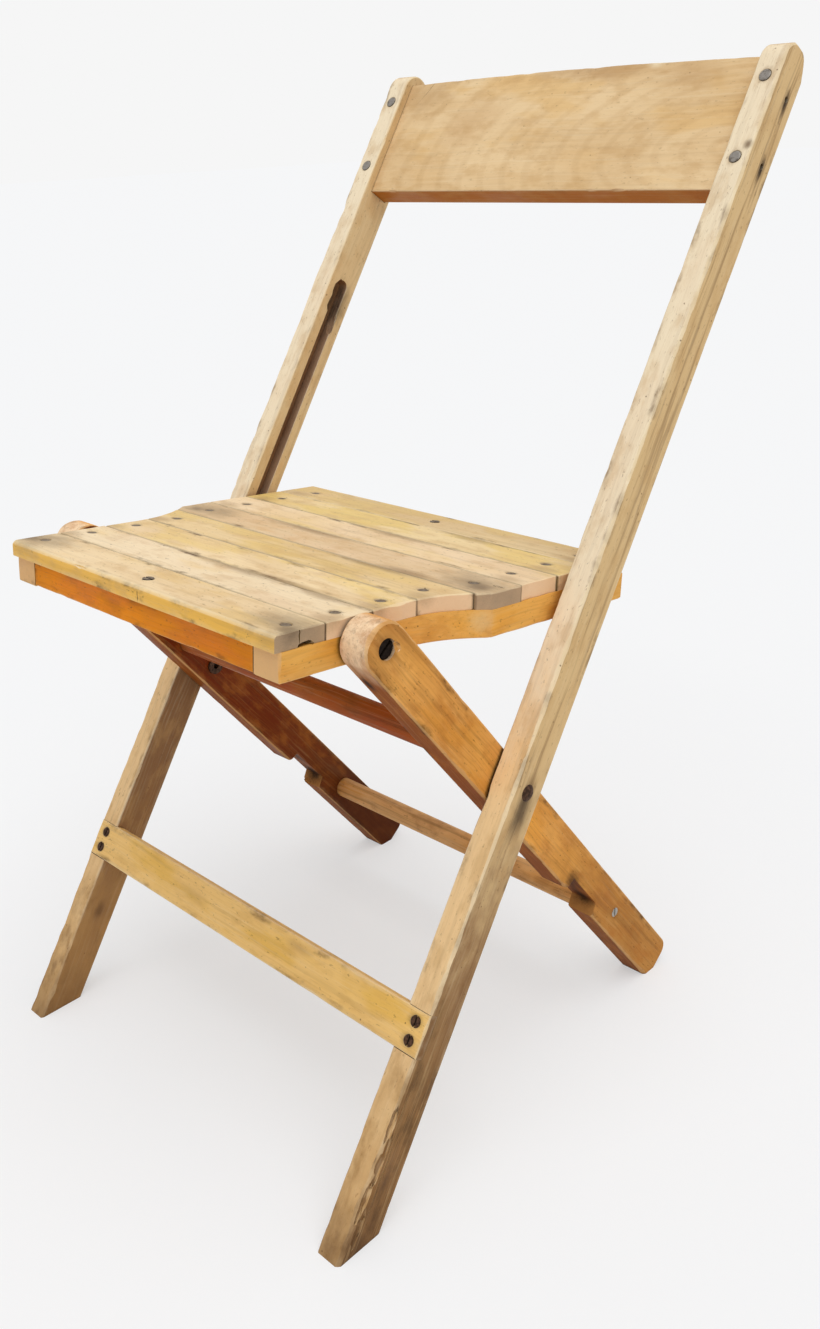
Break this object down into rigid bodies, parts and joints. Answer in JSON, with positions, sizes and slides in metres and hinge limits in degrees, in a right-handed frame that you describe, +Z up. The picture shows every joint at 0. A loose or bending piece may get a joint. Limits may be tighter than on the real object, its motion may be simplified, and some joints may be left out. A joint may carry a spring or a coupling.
{
  "type": "folding chair",
  "caption": "Slatted wooden folding chair: straight raked posts with a back panel, crossed rear legs and a seat that swings up between the posts when folded.",
  "frame": {"origin": "on the floor, midway across the chair and midway from the front feet to the top of the back", "axes": "+Z up, +Y to the rear, +X to the right as seen from the front"},
  "size_m": [0.4052, 0.5294, 0.7531],
  "materials": {
    "post_wood": "worn, thin old varnish",
    "panel_wood": "worn, thin old varnish",
    "stretcher_wood": "worn, thin old varnish",
    "leg_wood": "old amber varnish",
    "dowel_wood": "old amber varnish",
    "rail_wood": "old golden varnish",
    "slat_wood": "varnish worn off, stained ends",
    "rivet_steel": "dull zinc grey",
    "dark_steel": "rusty brown black"
  },
  "bodies": {
    "back_frame": {"post_left": "post_wood", "post_right": "post_wood", "back_panel": "panel_wood", "back_panel_rivets": "rivet_steel", "back_panel_nails": "dark_steel", "front_stretcher": "stretcher_wood", "stretcher_screws": "dark_steel", "leg_pivot_rivet_left": "dark_steel", "leg_pivot_rivet_right": "dark_steel", "leg_spacer_left": "rivet_steel", "leg_spacer_right": "rivet_steel"},
    "rear_legs": {"rear_leg_left": "leg_wood", "rear_leg_right": "leg_wood", "upper_leg_dowel": "dowel_wood", "lower_leg_dowel": "dowel_wood", "dowel_screws": "rivet_steel", "seat_pivot_spacer_left": "rivet_steel", "seat_pivot_spacer_right": "rivet_steel"},
    "seat": {"seat_rail_left": "rail_wood", "seat_rail_right": "rail_wood", "seat_front_rail": "rail_wood", "seat_rear_rail": "rail_wood", "seat_slat_1": "slat_wood", "seat_slat_2": "slat_wood", "seat_slat_3": "slat_wood", "seat_slat_4": "slat_wood", "seat_slat_5": "slat_wood", "seat_slat_6": "slat_wood", "seat_slat_7": "slat_wood", "seat_slat_8": "slat_wood", "slat_nails": "dark_steel", "slat_centre_screws": "dark_steel", "slide_pin_left": "dark_steel", "slide_pin_right": "dark_steel", "seat_pivot_bolt_left": "dark_steel", "seat_pivot_bolt_right": "dark_steel"}
  },
  "joints": [
    {"name": "leg_fold", "type": "hinge", "parent": "back_frame", "child": "rear_legs", "pos_m": [0, -0.06189, 0.27336], "axis": [1, 0, 0], "range_deg": [-71.6, 0]},
    {"name": "seat_fold", "type": "hinge", "parent": "rear_legs", "child": "seat", "pos_m": [0, -0.16854, 0.41084], "axis": [1, 0, 0], "range_deg": [0, 135.85]}
  ],
  "couplings": [
    {"joint": "seat_fold", "follows": "leg_fold", "ratio": -1.8964}
  ]
}
